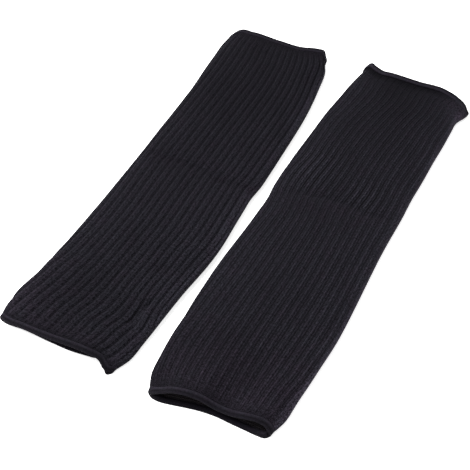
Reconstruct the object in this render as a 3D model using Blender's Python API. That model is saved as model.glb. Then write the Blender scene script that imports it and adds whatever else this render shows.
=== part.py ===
"""A pair of cut-resistant sleeves, knitted in a broad rib and laid flat side by side.

Everything is in metres, with +Z up. The sleeves lie on z = 0 and run along Y, with their near
ends towards -Y. The origin is under the middle of the pair. The left sleeve lies knit side out,
with broad ribs and narrow grooves. The right sleeve is turned inside out, so its single wales
stand up as thin ridges between broad flat bands. Each end has a smooth rolled welt.
"""

import math
from collections import namedtuple

import bmesh
import bpy
import numpy as np

# Sizes of one sleeve
SLEEVE_LENGTH = 0.400
WELT_LENGTH = 0.0050
SEAM_GAP = 0.0003
WALL = 0.0015

# Shape of a section: a domed top, round sides and a flat underside
DOME_POWER = 2.7
SIDE_SHARE = 0.42
UNDER_SHARE = 0.95

# Reach along Y of the shape that a mouth gives to the tube behind it
MOUTH_FADE = 0.055

# Middle of the pair in the tables below, which becomes the origin
PAIR_MIDDLE_X = -0.00123
PAIR_MIDDLE_Y = -0.00124

# Detail of the meshes
TURN_STEPS = 16
DOME_STEPS = 160
PLAIN_POINTS = 46
SIDE_CROWDING = 0.55
UNDERSIDE_POINTS = 9
ONCE_ROUND = 2.0
SHARP_ANGLE = math.radians(50)

CLOTH_COLOUR = (0.0142, 0.0132, 0.0178, 1.0)
WELT_COLOUR = (0.0160, 0.0150, 0.0200, 1.0)
CLOTH_ROUGHNESS = 0.88
WELT_ROUGHNESS = 0.80

# A section: its place along the sleeve, its left and right sides in x, and its height
Section = namedtuple("Section", "along left right crown")

LEFT_SECTIONS = (
    Section(-0.2000, -0.1182, -0.0168, 0.0125),
    Section(-0.1850, -0.1192, -0.0119, 0.0125),
    Section(-0.1680, -0.1188, -0.0102, 0.0125),
    Section(-0.1500, -0.1151, -0.0088, 0.0128),
    Section(-0.1300, -0.1137, -0.0078, 0.0130),
    Section(-0.1100, -0.1124, -0.0066, 0.0130),
    Section(-0.0900, -0.1117, -0.0046, 0.0130),
    Section(-0.0700, -0.1114, -0.0030, 0.0130),
    Section(-0.0500, -0.1111, -0.0031, 0.0130),
    Section(-0.0300, -0.1112, -0.0044, 0.0128),
    Section(-0.0100, -0.1114, -0.0056, 0.0125),
    Section(0.0050, -0.1115, -0.0064, 0.0122),
    Section(0.0200, -0.1116, -0.0052, 0.0126),
    Section(0.0400, -0.1119, -0.0054, 0.0130),
    Section(0.0650, -0.1122, -0.0062, 0.0130),
    Section(0.0900, -0.1128, -0.0071, 0.0130),
    Section(0.1150, -0.1138, -0.0084, 0.0130),
    Section(0.1400, -0.1155, -0.0109, 0.0130),
    Section(0.1600, -0.1168, -0.0138, 0.0130),
    Section(0.1800, -0.1184, -0.0168, 0.0130),
    Section(0.2000, -0.1186, -0.0225, 0.0130),
)

RIGHT_SECTIONS = (
    Section(-0.2000, 0.0125, 0.1083, 0.0130),
    Section(-0.1850, 0.0092, 0.1118, 0.0130),
    Section(-0.1680, 0.0075, 0.1129, 0.0130),
    Section(-0.1500, 0.0064, 0.1143, 0.0130),
    Section(-0.1300, 0.0062, 0.1152, 0.0130),
    Section(-0.1100, 0.0054, 0.1162, 0.0130),
    Section(-0.0900, 0.0047, 0.1161, 0.0130),
    Section(-0.0700, 0.0047, 0.1153, 0.0130),
    Section(-0.0500, 0.0054, 0.1143, 0.0130),
    Section(-0.0300, 0.0063, 0.1132, 0.0130),
    Section(-0.0100, 0.0068, 0.1123, 0.0128),
    Section(0.0100, 0.0068, 0.1120, 0.0125),
    Section(0.0250, 0.0052, 0.1120, 0.0122),
    Section(0.0400, 0.0047, 0.1119, 0.0127),
    Section(0.0600, 0.0052, 0.1112, 0.0130),
    Section(0.0900, 0.0059, 0.1115, 0.0130),
    Section(0.1200, 0.0065, 0.1113, 0.0130),
    Section(0.1450, 0.0084, 0.1115, 0.0130),
    Section(0.1650, 0.0104, 0.1112, 0.0130),
    Section(0.1800, 0.0122, 0.1112, 0.0130),
    Section(0.2000, 0.0150, 0.1168, 0.0130),
)

# A mouth, by share of the width from left to right: the height of its upper layer, and how far
# the edges of the upper and the lower layer stand out past the sleeve's nominal end
Mouth = namedtuple("Mouth", "across height upper lower")

LEFT_NEAR = (
    Mouth(0.00, 0.0068, -0.0080, -0.0080),
    Mouth(0.05, 0.0066, -0.0058, -0.0072),
    Mouth(0.20, 0.0064, -0.0055, -0.0080),
    Mouth(0.45, 0.0070, -0.0045, -0.0076),
    Mouth(0.62, 0.0095, -0.0035, -0.0064),
    Mouth(0.78, 0.0108, -0.0030, -0.0085),
    Mouth(0.87, 0.0092, -0.0034, -0.0088),
    Mouth(0.96, 0.0062, 0.0008, 0.0008),
    Mouth(1.00, 0.0055, -0.0020, -0.0020),
)

LEFT_FAR = (
    Mouth(0.00, 0.0100, -0.0080, -0.0080),
    Mouth(0.06, 0.0112, -0.0012, -0.0025),
    Mouth(0.20, 0.0120, -0.0008, -0.0030),
    Mouth(0.50, 0.0120, -0.0026, -0.0045),
    Mouth(0.75, 0.0132, -0.0030, -0.0045),
    Mouth(0.90, 0.0175, -0.0015, -0.0040),
    Mouth(0.96, 0.0190, -0.0010, -0.0035),
    Mouth(1.00, 0.0180, -0.0050, -0.0050),
)

RIGHT_NEAR = (
    Mouth(0.00, 0.0090, -0.0010, -0.0010),
    Mouth(0.06, 0.0115, 0.0036, 0.0052),
    Mouth(0.17, 0.0155, 0.0036, 0.0036),
    Mouth(0.30, 0.0165, 0.0030, 0.0010),
    Mouth(0.42, 0.0140, 0.0010, -0.0012),
    Mouth(0.56, 0.0085, -0.0005, -0.0020),
    Mouth(0.67, 0.0095, -0.0005, -0.0012),
    Mouth(0.80, 0.0125, 0.0000, -0.0006),
    Mouth(0.92, 0.0095, 0.0006, 0.0002),
    Mouth(1.00, 0.0060, -0.0026, -0.0026),
)

RIGHT_FAR = (
    Mouth(0.00, 0.0160, -0.0012, -0.0012),
    Mouth(0.06, 0.0165, 0.0036, -0.0006),
    Mouth(0.15, 0.0128, -0.0005, -0.0030),
    Mouth(0.25, 0.0125, -0.0012, -0.0035),
    Mouth(0.50, 0.0120, -0.0018, -0.0040),
    Mouth(0.75, 0.0120, -0.0008, -0.0040),
    Mouth(0.87, 0.0112, -0.0035, -0.0060),
    Mouth(0.95, 0.0095, -0.0072, -0.0085),
    Mouth(1.00, 0.0080, -0.0130, -0.0130),
)

# A soft fold of the upper layer along a line: a rise above zero is a ridge, below it a trough
Fold = namedtuple("Fold", "x_start y_start x_end y_end half_width rise")

LEFT_FOLDS = (
    Fold(-0.108, 0.013, -0.008, 0.001, 0.0060, -0.0007),
    Fold(-0.034, -0.148, -0.020, -0.170, 0.0070, -0.0018),
    Fold(-0.030, -0.104, -0.008, -0.080, 0.0090, -0.0012),
    Fold(-0.070, -0.100, -0.060, -0.040, 0.0220, 0.0010),
    Fold(-0.075, 0.060, -0.080, 0.130, 0.0240, 0.0010),
)

RIGHT_FOLDS = (
    Fold(0.010, 0.026, 0.102, 0.020, 0.0060, -0.0007),
    Fold(0.032, 0.050, 0.030, 0.075, 0.0160, 0.0012),
    Fold(0.068, -0.190, 0.072, -0.150, 0.0110, -0.0014),
    Fold(0.060, -0.120, 0.064, -0.040, 0.0240, 0.0010),
    Fold(0.070, 0.080, 0.066, 0.150, 0.0240, 0.0008),
)

# A rib's profile: share of the pitch across it, and how far it stands out of the wall
RibPoint = namedtuple("RibPoint", "share rise")

BROAD_RIB = (
    RibPoint(0.00, 0.0000),
    RibPoint(0.20, 0.0009),
    RibPoint(0.50, 0.0011),
    RibPoint(0.80, 0.0009),
)

THIN_RIDGE = (
    RibPoint(0.00, 0.0000),
    RibPoint(0.30, 0.0000),
    RibPoint(0.50, 0.0009),
    RibPoint(0.70, 0.0000),
)

# A welt's profile round its wall: share of its length away from the seam, and its place in the
# wall, from -1 at the inner face through 0 at the outer face to 1 at the top of its roll
WeltPoint = namedtuple("WeltPoint", "share level")

WELT_PROFILE = (
    WeltPoint(0.00, 0.00),
    WeltPoint(0.12, 0.62),
    WeltPoint(0.40, 1.00),
    WeltPoint(0.72, 0.86),
    WeltPoint(0.94, 0.30),
    WeltPoint(1.00, -0.40),
    WeltPoint(0.92, -1.00),
    WeltPoint(0.00, -1.00),
)

# A sleeve: its name, its tables, its rib, and the rise of the roll on its near and far welts
Sleeve = namedtuple("Sleeve", "name sections near far folds rib rib_count near_roll far_roll")

SLEEVES = (
    Sleeve("left", LEFT_SECTIONS, LEFT_NEAR, LEFT_FAR, LEFT_FOLDS, BROAD_RIB, 20, 0.0011, 0.0011),
    Sleeve("right", RIGHT_SECTIONS, RIGHT_NEAR, RIGHT_FAR, RIGHT_FOLDS, THIN_RIDGE, 20, 0.0012, 0.0022),
)


def clear_scene():
    for obj in list(bpy.data.objects):
        bpy.data.objects.remove(obj, do_unlink=True)


def make_material(name, colour, roughness):
    material = bpy.data.materials.new(name)
    material.use_nodes = True
    shader = material.node_tree.nodes["Principled BSDF"]
    shader.inputs["Base Color"].default_value = colour
    shader.inputs["Roughness"].default_value = roughness
    shader.inputs["Metallic"].default_value = 0.0
    return material


def curve(rows, place, column, at):
    """Reads one column of a table on a smooth curve through its rows, level at both ends."""
    known = np.array([row._asdict()[place] for row in rows])
    values = np.array([row._asdict()[column] for row in rows])
    slopes = np.gradient(values, known)
    slopes[0] = 0.0
    slopes[-1] = 0.0
    at = np.clip(at, known[0], known[-1])
    cell = np.clip(np.searchsorted(known, at, side="right") - 1, 0, len(known) - 2)
    span = known[cell + 1] - known[cell]
    t = (at - known[cell]) / span
    level = values[cell] * (1 + 2 * t) * (1 - t) ** 2 + values[cell + 1] * t * t * (3 - 2 * t)
    bend = slopes[cell] * t * (1 - t) ** 2 - slopes[cell + 1] * t * t * (1 - t)
    return level + span * bend


def smooth_step(value):
    t = np.clip(value, 0.0, 1.0)
    return t * t * (3 - 2 * t)


def mouth_weights(along):
    """How much the near and the far mouth shape the section at this place."""
    half = SLEEVE_LENGTH / 2
    near = 1.0 - smooth_step((along + half) / MOUTH_FADE)
    far = 1.0 - smooth_step((half - along) / MOUTH_FADE)
    return near, far


def fold_rise(folds, x, y):
    """Height that the soft folds add to the upper layer at these points."""
    rise = np.zeros_like(x)
    for fold in folds:
        run_x = fold.x_end - fold.x_start
        run_y = fold.y_end - fold.y_start
        share = ((x - fold.x_start) * run_x + (y - fold.y_start) * run_y) / (run_x ** 2 + run_y ** 2)
        share = np.clip(share, 0.0, 1.0)
        off_x = x - fold.x_start - share * run_x
        off_y = y - fold.y_start - share * run_y
        rise += fold.rise * np.exp(-(off_x ** 2 + off_y ** 2) / fold.half_width ** 2)
    return rise


def crown_height(sleeve, along, across, x):
    """Height of the upper layer's crown at a share of the width, folds included."""
    near, far = mouth_weights(along)
    body = curve(sleeve.sections, "along", "crown", along) + fold_rise(sleeve.folds, x, along)
    body = body * (1.0 - near - far)
    at_near = curve(sleeve.near, "across", "height", across) * near
    at_far = curve(sleeve.far, "across", "height", across) * far
    return body + at_near + at_far


def outline(sleeve, along):
    """One section over the top, from its left underside corner to its right one, as x and z."""
    left = curve(sleeve.sections, "along", "left", along)
    right = curve(sleeve.sections, "along", "right", along)
    sweep = np.linspace(math.pi, 0.0, DOME_STEPS)
    power = 2.0 / DOME_POWER
    across = 0.5 + 0.5 * np.sign(np.cos(sweep)) * np.abs(np.cos(sweep)) ** power
    dome = np.abs(np.sin(sweep)) ** power
    x = left + (right - left) * across
    crown = crown_height(sleeve, along, across, x)
    side = SIDE_SHARE * (crown[0] * (1.0 - across) + crown[-1] * across)
    z = side + (crown - side) * dome
    turn = np.linspace(0.0, math.pi / 2, TURN_STEPS)
    rise = 1.0 - np.cos(turn)
    tuck = UNDER_SHARE * (1.0 - np.sin(turn))
    left_x = left + side[0] * tuck
    right_x = right - side[-1] * tuck
    x = np.concatenate([left_x[:-1], x, right_x[-2::-1]])
    z = np.concatenate([side[0] * rise[:-1], z, side[-1] * rise[-2::-1]])
    return left, right, side[0], x, z


def edge_reach(sleeve, along, across, upper_share):
    """How far the sloping mouths move a point of this section along the sleeve."""
    half = SLEEVE_LENGTH / 2
    mouth, sign = (sleeve.far, 1.0) if along > 0 else (sleeve.near, -1.0)
    upper = curve(mouth, "across", "upper", across)
    lower = curve(mouth, "across", "lower", across)
    weight = (along / half) ** 2
    return sign * weight * (lower + (upper - lower) * upper_share)


def section_points(sleeve, along, places, lifts):
    """Points round a section.

    A place from 0 to 1 is a share of the way over the top, and one from 1 to 2 a share of the
    way back along the underside. A lift moves the point out of the wall's outer face. No point
    comes below the floor.
    """
    left, right, side, x, z = outline(sleeve, along)
    steps = np.hypot(np.diff(x), np.diff(z))
    share = np.concatenate([[0.0], np.cumsum(steps)]) / steps.sum()
    tangent_x = np.gradient(x, share)
    tangent_z = np.gradient(z, share)
    length = np.hypot(tangent_x, tangent_z)
    on_top = np.clip(places, 0.0, 1.0)
    below = np.clip(places - 1.0, 0.0, 1.0)
    base_x = np.interp(on_top, share, x) + below * (x[0] - x[-1])
    base_z = np.interp(on_top, share, z)
    out_x = np.where(below > 0, 0.0, -np.interp(on_top, share, tangent_z / length))
    out_z = np.where(below > 0, -1.0, np.interp(on_top, share, tangent_x / length))
    height_fade = np.clip(base_z / side, 0.0, 1.0)
    lifts = np.where(lifts > 0, lifts * height_fade, lifts)
    across = np.clip((base_x - left) / (right - left), 0.0, 1.0)
    upper_share = np.clip(base_z / (2.0 * side), 0.0, 1.0)
    points = np.empty((len(places), 3))
    points[:, 0] = base_x + out_x * lifts - PAIR_MIDDLE_X
    points[:, 1] = along + edge_reach(sleeve, along, across, upper_share) - PAIR_MIDDLE_Y
    points[:, 2] = np.maximum(base_z + out_z * lifts, 0.0)
    return points


def crowded_steps(count):
    """Shares from 0 to 1 in count steps, closer together near both ends."""
    even = np.linspace(0.0, 1.0, count + 1)
    crowded = 0.5 - 0.5 * np.cos(math.pi * even)
    return even + SIDE_CROWDING * (crowded - even)


def plain_places():
    """Places all round a section for a plain face, closer together round the sides."""
    under = 1.0 + crowded_steps(UNDERSIDE_POINTS)[1:-1]
    return np.concatenate([crowded_steps(PLAIN_POINTS), under])


def rib_places(sleeve):
    """Places and lifts round a section that follow each rib's profile."""
    places = [0.0]
    lifts = [0.0]
    for rib in range(sleeve.rib_count):
        for point in sleeve.rib:
            if rib + point.share > 0:
                places.append((rib + point.share) / sleeve.rib_count)
                lifts.append(point.rise)
    under = 1.0 + crowded_steps(UNDERSIDE_POINTS)[:-1]
    places = np.concatenate([places, under])
    lifts = np.concatenate([lifts, np.zeros(UNDERSIDE_POINTS)])
    return places, lifts


def add_ring(mesh, points):
    return [mesh.verts.new(point) for point in points]


def skin(mesh, first, second):
    """Joins two rings of the same count with quads."""
    for i in range(len(first)):
        j = (i + 1) % len(first)
        mesh.faces.new((first[i], first[j], second[j], second[i]))


def zip_rings(mesh, first, first_places, second, second_places):
    """Joins two rings of different counts with triangles, in the order of their places."""
    i = 0
    j = 0
    first_next = np.append(first_places[1:], ONCE_ROUND)
    second_next = np.append(second_places[1:], ONCE_ROUND)
    while i < len(first) or j < len(second):
        a = first[i % len(first)]
        b = second[j % len(second)]
        take_first = j == len(second) or (i < len(first) and first_next[i] <= second_next[j])
        if take_first:
            i += 1
            mesh.faces.new((a, first[i % len(first)], b))
        else:
            j += 1
            mesh.faces.new((a, second[j % len(second)], b))


def finish_mesh(name, mesh, material):
    bmesh.ops.recalc_face_normals(mesh, faces=mesh.faces)
    data = bpy.data.meshes.new(name)
    mesh.to_mesh(data)
    mesh.free()
    data.shade_smooth()
    data.set_sharp_from_angle(angle=SHARP_ANGLE)
    data.materials.append(material)
    obj = bpy.data.objects.new(name, data)
    bpy.context.scene.collection.objects.link(obj)
    return obj


def make_tube(sleeve, material):
    """The ribbed tube between the welts: ribs in its outer face, a plain inner face."""
    seam = SLEEVE_LENGTH / 2 - WELT_LENGTH - SEAM_GAP
    inner_sections = [row.along for row in sleeve.sections[1:-1]]
    stations = [-seam] + inner_sections + [seam]
    outer_places, outer_lifts = rib_places(sleeve)
    inner_places = plain_places()
    inner_lifts = np.full(len(inner_places), -WALL)
    mesh = bmesh.new()
    outer = [add_ring(mesh, section_points(sleeve, y, outer_places, outer_lifts)) for y in stations]
    inner = [add_ring(mesh, section_points(sleeve, y, inner_places, inner_lifts)) for y in stations]
    for i in range(len(stations) - 1):
        skin(mesh, outer[i], outer[i + 1])
        skin(mesh, inner[i], inner[i + 1])
    zip_rings(mesh, outer[0], outer_places, inner[0], inner_places)
    zip_rings(mesh, outer[-1], outer_places, inner[-1], inner_places)
    return finish_mesh(sleeve.name + "_tube", mesh, material)


def make_welt(sleeve, end, sign, roll, material):
    """A rolled band round one mouth, one seam gap away from the tube."""
    places = plain_places()
    seam = SLEEVE_LENGTH / 2 - WELT_LENGTH
    mesh = bmesh.new()
    rings = []
    for point in WELT_PROFILE:
        along = sign * (seam + point.share * WELT_LENGTH)
        lift = point.level * (roll if point.level > 0 else WALL)
        points = section_points(sleeve, along, places, np.full(len(places), lift))
        rings.append(add_ring(mesh, points))
    for i in range(len(rings)):
        skin(mesh, rings[i], rings[(i + 1) % len(rings)])
    return finish_mesh(sleeve.name + "_welt_" + end, mesh, material)


def build():
    clear_scene()
    cloth = make_material("knitted_cloth", CLOTH_COLOUR, CLOTH_ROUGHNESS)
    welt = make_material("rolled_welt", WELT_COLOUR, WELT_ROUGHNESS)
    for sleeve in SLEEVES:
        make_tube(sleeve, cloth)
        make_welt(sleeve, "near", -1.0, sleeve.near_roll, welt)
        make_welt(sleeve, "far", 1.0, sleeve.far_roll, welt)


build()
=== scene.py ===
"""Looks of a pair of cut-resistant sleeves, knitted in a broad rib and laid flat side by side.

Lengths are in metres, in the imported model's frame: +Z up, the sleeves on z = 0 and along Y. The
left sleeve lies knit side out, with broad ribs and narrow grooves. The right sleeve is turned
inside out, so its single wales stand as thin ridges between flat purl bands.
"""

import math
from collections import namedtuple

import bpy
import numpy as np
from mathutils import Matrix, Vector


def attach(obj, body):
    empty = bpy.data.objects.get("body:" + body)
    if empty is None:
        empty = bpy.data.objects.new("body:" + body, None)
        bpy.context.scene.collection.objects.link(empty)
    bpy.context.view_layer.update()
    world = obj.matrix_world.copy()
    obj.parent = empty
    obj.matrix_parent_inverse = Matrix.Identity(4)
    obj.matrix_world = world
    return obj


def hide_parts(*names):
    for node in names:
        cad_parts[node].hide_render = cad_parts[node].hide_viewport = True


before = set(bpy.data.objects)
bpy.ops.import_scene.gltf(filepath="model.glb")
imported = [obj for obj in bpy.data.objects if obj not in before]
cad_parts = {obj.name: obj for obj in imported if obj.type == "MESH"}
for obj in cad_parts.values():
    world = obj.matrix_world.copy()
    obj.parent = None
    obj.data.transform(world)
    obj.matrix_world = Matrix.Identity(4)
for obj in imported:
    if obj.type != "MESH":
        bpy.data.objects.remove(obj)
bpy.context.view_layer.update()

# Sizes of one sleeve, as in the solids
SLEEVE_LENGTH = 0.400
WELT_LENGTH = 0.0050
WALL = 0.0015

# A section's form: the power of its rounded top, the height of its sides as a share of the crown,
# how far they are tucked in below as a share of their height, and how far a mouth's own height
# reaches into the sleeve
DOME_POWER = 2.7
SIDE_SHARE = 0.42
UNDER_SHARE = 0.95
MOUTH_FADE = 0.055

# The middle of the pair in the tables below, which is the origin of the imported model's frame
PAIR_MIDDLE_X = -0.00123
PAIR_MIDDLE_Y = -0.00124

# The knit: ribs over the top of a sleeve, wales in a rib, and the height of a course
RIB_COUNT = 20
WALES = 3
COURSE = 0.00160
WELT_COURSES = 9

# Half widths in ribs: a wale on the knit face, and a ridge and a flat band on the purl face. Then a
# flat band's share of a ridge's height, and half widths of the parts that show knit loops.
ROUND_WALE = 0.235
RIDGE_WALE = 0.15
FLAT_WALE = 0.17
FLAT_RISE = 0.28
KNIT_BAND = 1 / 3
RIDGE_BAND = 1 / 6

# A face of the knit: the height of its ribs, the level that they are pressed to down the sides,
# the seed of their unevenness, where round the top the rim's painted light starts, and how violet
# the rim's painted sheen is
Face = namedtuple("Face", "inside_out relief pressed seed rim_from rim_violet")

KNIT_FACE = Face(False, relief=0.00115, pressed=0.0008, seed=11.0, rim_from=0.865, rim_violet=0.2)
PURL_FACE = Face(True, relief=0.00095, pressed=0.0007, seed=3.0, rim_from=0.89, rim_violet=0.8)

# Shares of the ribs' relief that are left at a welt and down the sides
WELT_RELIEF = 0.25
SIDE_RELIEF = 0.3

# How far the cloth turns down into the seam at a mouth, and over what length
SEAM_TURN = 0.0006
SEAM_LENGTH = 0.0012

# The underside's ribs are pressed flat, and only their grooves show
UNDER_GROOVE = 0.00035

# The ribs' unevenness: its height, the phase between neighbouring ribs, and its waves, each with
# its turn for each metre, its share of the phase and its strength
UNEVEN_HEIGHT = 0.00006
UNEVEN_PHASE = 12.9898
Wave = namedtuple("Wave", "turn phase strength")
UNEVEN_WAVES = (Wave(310.0, 1.0, 1.0), Wave(743.0, 1.7, 0.6), Wave(1630.0, 2.3, 0.5))

# A place round a section runs from 0 to 1 over the top, and on to 2 back along the underside. The
# tables' left and right columns hold this far from the middle of the top, and the curve through
# them runs on to this many times as far.
ONCE_ROUND = 2.0
COLUMN_REACH = 0.3
CURVE_REACH = 1.4

# Shade: how much each metre of a fold's depth darkens the cloth, the share of a seam's shadow that
# stays full before it fades, and how far beside the left side that shadow is open
FOLD_SHADE = 130.0
SHADOW_FULL = 0.25
SHADOW_GAP = 0.05

# The right rim, painted lighter: the part of the top over which it comes in, and how flat the
# painted shade of its ribs looks
RIM_FADE = 0.045
RIM_FLATNESS = 0.7

# Violet: where it starts towards the near end and over what length, its strength there on the purl
# face, its reach there across the knit face, and its strength and reach at the left side, where it
# is a painted sheen
VIOLET_FROM = -0.110
VIOLET_FADE = 0.05
PURL_VIOLET = 0.75
KNIT_VIOLET_REACH = 0.6
LEFT_VIOLET = 0.35
LEFT_VIOLET_REACH = 0.08

# Looks of a welt: how far up the sides its lower layer's painted light reaches, how far beside them
# the seam's painted shadow is open, the share of the roll that this shadow covers, and the welt's
# violet
LOWER_FADE = 0.06
WELT_GAP = 0.04
WELT_SHADOW = 0.10
WELT_VIOLET = 0.6

# Form of a welt: the power of its rounded profile, the share of its roll that turns round the
# sides, how far beside them it swells, and the place and reach of a knob at the left corner
BEAD_POWER = 2.5
SIDE_ROLL = 0.25
SWELL_REACH = 0.09
KNOB_PLACE = 0.045
KNOB_REACH = 0.05

# Where round the top a loose welt starts to loosen, over how far, and the share of its roll that
# the loosest part loses
LOOSE_FROM = 0.62
LOOSE_FADE = 0.22
LOOSE_FLATNESS = 0.8

# Detail of the meshes, and how much closer the rings stand near a sleeve's ends
TURN_STEPS = 16
DOME_STEPS = 400
RINGS = 262
TOP_STEPS = 12
UNDER_STEPS = 5
INNER_RINGS = 80
INNER_TOP = 60
INNER_UNDER = 30
BEAD_STEPS = 22
WELT_TOP = 170
WELT_UNDER = 80
RING_CROWDING = 0.1

# Boxes of the bake map for a tube's two faces and for a welt, and the levels of a tube's two strips
# between its faces at the mouths
OUTER_BAKE = (0.0, 0.0, 0.84, 0.96)
INNER_BAKE = (0.86, 0.0, 1.0, 0.96)
WELT_BAKE = (0.0, 0.0, 1.0, 1.0)
NEAR_STRIP_BAKE = 0.975
FAR_STRIP_BAKE = 0.99

# Camera
CAMERA_AZIMUTH = 26.58
CAMERA_ELEVATION = 45.72
CAMERA_DISTANCE = 1.010
CAMERA_TARGET = (0.00012, -0.03271, 0.0)
CAMERA_LENS = 97.18
SENSOR_WIDTH = 36.0
CLIP_START = 0.01
CLIP_END = 20.0

# Key light, soft light all round, and a floor just under the sleeves
KEY_PLACE = (-0.45, -0.22, 0.95)
KEY_AIM = (0.0, -0.02, 0.0)
KEY_SIZE = 0.8
KEY_POWER = 22.0
WORLD_STRENGTH = 0.7
FLOOR_HALF = 4.0
FLOOR_DROP = 0.0003
WHITE = (1.0, 1.0, 1.0, 1.0)

# A section of a sleeve: its place along it, its left and right edges, and its crown's height
Section = namedtuple("Section", "along left right crown")

LEFT_SECTIONS = (
    Section(-0.2000, -0.1182, -0.0168, 0.0125),
    Section(-0.1850, -0.1192, -0.0119, 0.0125),
    Section(-0.1680, -0.1188, -0.0102, 0.0125),
    Section(-0.1500, -0.1151, -0.0088, 0.0128),
    Section(-0.1300, -0.1137, -0.0078, 0.0130),
    Section(-0.1100, -0.1124, -0.0066, 0.0130),
    Section(-0.0900, -0.1117, -0.0046, 0.0130),
    Section(-0.0700, -0.1114, -0.0030, 0.0130),
    Section(-0.0500, -0.1111, -0.0031, 0.0130),
    Section(-0.0300, -0.1112, -0.0044, 0.0128),
    Section(-0.0100, -0.1114, -0.0056, 0.0125),
    Section(0.0050, -0.1115, -0.0064, 0.0122),
    Section(0.0200, -0.1116, -0.0052, 0.0126),
    Section(0.0400, -0.1119, -0.0054, 0.0130),
    Section(0.0650, -0.1122, -0.0062, 0.0130),
    Section(0.0900, -0.1128, -0.0071, 0.0130),
    Section(0.1150, -0.1138, -0.0084, 0.0130),
    Section(0.1400, -0.1155, -0.0109, 0.0130),
    Section(0.1600, -0.1168, -0.0138, 0.0130),
    Section(0.1800, -0.1184, -0.0168, 0.0130),
    Section(0.2000, -0.1186, -0.0225, 0.0130),
)

RIGHT_SECTIONS = (
    Section(-0.2000, 0.0145, 0.1083, 0.0130),
    Section(-0.1850, 0.0094, 0.1118, 0.0130),
    Section(-0.1680, 0.0075, 0.1129, 0.0130),
    Section(-0.1500, 0.0064, 0.1143, 0.0130),
    Section(-0.1300, 0.0062, 0.1152, 0.0130),
    Section(-0.1100, 0.0054, 0.1162, 0.0130),
    Section(-0.0900, 0.0047, 0.1161, 0.0130),
    Section(-0.0700, 0.0047, 0.1153, 0.0130),
    Section(-0.0500, 0.0054, 0.1143, 0.0130),
    Section(-0.0300, 0.0063, 0.1132, 0.0130),
    Section(-0.0100, 0.0068, 0.1123, 0.0128),
    Section(0.0100, 0.0068, 0.1120, 0.0125),
    Section(0.0250, 0.0052, 0.1120, 0.0122),
    Section(0.0400, 0.0047, 0.1119, 0.0127),
    Section(0.0600, 0.0052, 0.1112, 0.0130),
    Section(0.0900, 0.0059, 0.1115, 0.0130),
    Section(0.1200, 0.0065, 0.1113, 0.0130),
    Section(0.1450, 0.0084, 0.1115, 0.0130),
    Section(0.1650, 0.0104, 0.1112, 0.0130),
    Section(0.1800, 0.0122, 0.1112, 0.0130),
    Section(0.2000, 0.0150, 0.1168, 0.0130),
)

# A mouth at a share of the way across: its height, and how far its upper and lower layers reach
# outwards
Mouth = namedtuple("Mouth", "across height upper lower")

LEFT_NEAR = (
    Mouth(0.00, 0.0068, -0.0080, -0.0080),
    Mouth(0.05, 0.0066, -0.0058, -0.0072),
    Mouth(0.20, 0.0064, -0.0046, -0.0079),
    Mouth(0.45, 0.0070, -0.0042, -0.0066),
    Mouth(0.62, 0.0095, -0.0035, -0.0063),
    Mouth(0.78, 0.0108, -0.0030, -0.0080),
    Mouth(0.87, 0.0092, -0.0034, -0.0088),
    Mouth(0.96, 0.0062, 0.0008, 0.0008),
    Mouth(1.00, 0.0055, -0.0020, -0.0020),
)

LEFT_FAR = (
    Mouth(0.00, 0.0100, -0.0080, -0.0080),
    Mouth(0.06, 0.0112, -0.0012, -0.0025),
    Mouth(0.20, 0.0120, -0.0008, -0.0030),
    Mouth(0.50, 0.0120, -0.0026, -0.0045),
    Mouth(0.75, 0.0132, -0.0030, -0.0045),
    Mouth(0.90, 0.0175, -0.0015, -0.0040),
    Mouth(0.96, 0.0190, -0.0010, -0.0035),
    Mouth(1.00, 0.0180, -0.0050, -0.0050),
)

RIGHT_NEAR = (
    Mouth(0.00, 0.0066, 0.0030, 0.0030),
    Mouth(0.03, 0.0074, 0.0042, 0.0044),
    Mouth(0.07, 0.0092, 0.0044, 0.0052),
    Mouth(0.12, 0.0114, 0.0040, 0.0052),
    Mouth(0.18, 0.0144, 0.0036, 0.0042),
    Mouth(0.30, 0.0168, 0.0028, 0.0017),
    Mouth(0.42, 0.0146, 0.0008, -0.0004),
    Mouth(0.56, 0.0090, -0.0007, -0.0012),
    Mouth(0.67, 0.0095, -0.0005, -0.0005),
    Mouth(0.80, 0.0134, -0.0008, 0.0001),
    Mouth(0.90, 0.0142, -0.0026, 0.0005),
    Mouth(0.96, 0.0122, -0.0032, 0.0000),
    Mouth(1.00, 0.0070, -0.0026, -0.0026),
)

RIGHT_FAR = (
    Mouth(0.00, 0.0165, 0.0014, -0.0012),
    Mouth(0.03, 0.0170, 0.0038, -0.0006),
    Mouth(0.08, 0.0150, 0.0012, -0.0020),
    Mouth(0.15, 0.0126, -0.0008, -0.0030),
    Mouth(0.25, 0.0125, -0.0012, -0.0035),
    Mouth(0.50, 0.0120, -0.0018, -0.0040),
    Mouth(0.75, 0.0120, -0.0008, -0.0040),
    Mouth(0.87, 0.0112, -0.0035, -0.0060),
    Mouth(0.95, 0.0095, -0.0072, -0.0085),
    Mouth(1.00, 0.0080, -0.0130, -0.0130),
)

# A fold along a line of the upper layer: a rise above zero is a ridge, below it a trough
Fold = namedtuple("Fold", "x_start y_start x_end y_end half_width rise")

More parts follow.
